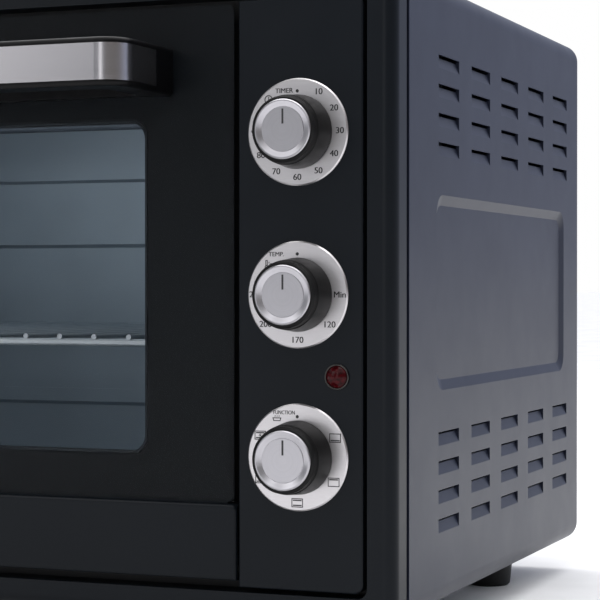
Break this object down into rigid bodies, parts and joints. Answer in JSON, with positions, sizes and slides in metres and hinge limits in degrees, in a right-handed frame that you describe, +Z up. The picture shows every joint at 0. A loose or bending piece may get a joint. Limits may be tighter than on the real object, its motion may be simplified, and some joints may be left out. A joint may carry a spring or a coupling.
{
  "type": "toaster oven",
  "caption": "Counter-top toaster oven with a drop-down glass door, bar handle, wire rack and a right-hand column of turning knobs.",
  "frame": {"origin": "on the counter, under the middle of the overall box including the handle", "axes": "+Z up, -Y towards the user (door side), +X to the user's right"},
  "size_m": [0.6, 0.489, 0.391],
  "materials": {
    "front_enamel": "semi-gloss black enamel",
    "casing_paint": "satin blue-grey powder coat",
    "zinc_sheet": "plain galvanised sheet",
    "cavity_steel": "aluminised sheet, slightly dull",
    "door_glass": "polished, slightly tinted",
    "glass_print": "black fired print behind the glass",
    "dial_metal": "fine circular brushed",
    "knob_plastic": "satin moulded black",
    "cap_metal": "spun and brushed",
    "handle_plastic": "satin moulded black",
    "handle_steel": "brushed along its length",
    "lamp_lens": "clear dark red",
    "bright_metal": "bright plated",
    "rack_wire": "bright plated wire",
    "heater_sheath": "dull heat-darkened sheath",
    "ceramic": "white glazed ceramic",
    "foot_rubber": "matt black",
    "switch_body": "dark phenolic moulding",
    "wire_sleeve": "woven silicone sleeve"
  },
  "bodies": {
    "case": {"base_plate": "zinc_sheet", "bay_partition": "zinc_sheet", "cavity_back_wall": "cavity_steel", "cavity_floor": "cavity_steel", "cavity_left_wall": "cavity_steel", "cavity_right_wall": "cavity_steel", "cavity_roof": "cavity_steel", "control_panel": "front_enamel", "cord_gland": "foot_rubber", "door_spring": "bright_metal", "foot_front_left": "foot_rubber", "foot_front_right": "foot_rubber", "foot_rear_left": "foot_rubber", "foot_rear_right": "foot_rubber", "foot_screws": "bright_metal", "front_bezel": "front_enamel", "front_plate": "zinc_sheet", "function_dial": "dial_metal", "heater_insulators": "ceramic", "hinge_bracket_left": "zinc_sheet", "hinge_bracket_right": "zinc_sheet", "indicator_lens": "lamp_lens", "lamp_bezel": "bright_metal", "lower_heaters": "heater_sheath", "neon_lamp": "switch_body", "rear_cover": "casing_paint", "rear_screws": "bright_metal", "selector_switch": "switch_body", "sensor_bulb": "bright_metal", "side_panel_left": "casing_paint", "side_panel_right": "casing_paint", "temp_dial": "dial_metal", "terminal_block": "ceramic", "thermostat_unit": "switch_body", "timer_dial": "dial_metal", "timer_unit": "switch_body", "top_cover": "casing_paint", "upper_heaters": "heater_sheath", "wiring_loom": "wire_sleeve"},
    "door": {"door_glass": "door_glass", "door_glass_print": "glass_print", "door_frame": "zinc_sheet", "door_bottom_rail": "front_enamel", "handle_body": "handle_plastic", "handle_trim": "handle_steel", "handle_screws": "bright_metal", "hinge_pins": "bright_metal", "door_stay_left": "zinc_sheet", "door_stay_right": "zinc_sheet"},
    "rack": {"wire_rack": "rack_wire"},
    "timer_control": {"timer_shaft": "bright_metal", "timer_knob": "knob_plastic", "timer_knob_cap": "cap_metal"},
    "temp_control": {"temp_shaft": "bright_metal", "temp_knob": "knob_plastic", "temp_knob_cap": "cap_metal"},
    "function_control": {"function_shaft": "bright_metal", "function_knob": "knob_plastic", "function_knob_cap": "cap_metal"}
  },
  "joints": [
    {"name": "door_hinge", "type": "hinge", "parent": "case", "child": "door", "pos_m": [0, -0.1695, 0.0497], "axis": [1, 0, 0], "range_deg": [0, 82], "stiffness_Nm_per_rad": 1.2, "springref_deg": -40.11},
    {"name": "rack_slide", "type": "slide", "parent": "case", "child": "rack", "axis": [0, -1, 0], "range_m": [0, 0.155]},
    {"name": "timer_turn", "type": "hinge", "parent": "case", "child": "timer_control", "pos_m": [0.2429, -0.18, 0.2971], "axis": [0, 1, 0], "range_deg": [0, 270]},
    {"name": "temp_turn", "type": "hinge", "parent": "case", "child": "temp_control", "pos_m": [0.2429, -0.18, 0.2063], "axis": [0, 1, 0], "range_deg": [0, 270]},
    {"name": "function_turn", "type": "hinge", "parent": "case", "child": "function_control", "pos_m": [0.2429, -0.18, 0.1155], "axis": [0, 1, 0], "range_deg": [0, 300]}
  ],
  "couplings": [
    {"joint": "rack_slide", "follows": "door_hinge", "m_per_rad": 0.105}
  ]
}
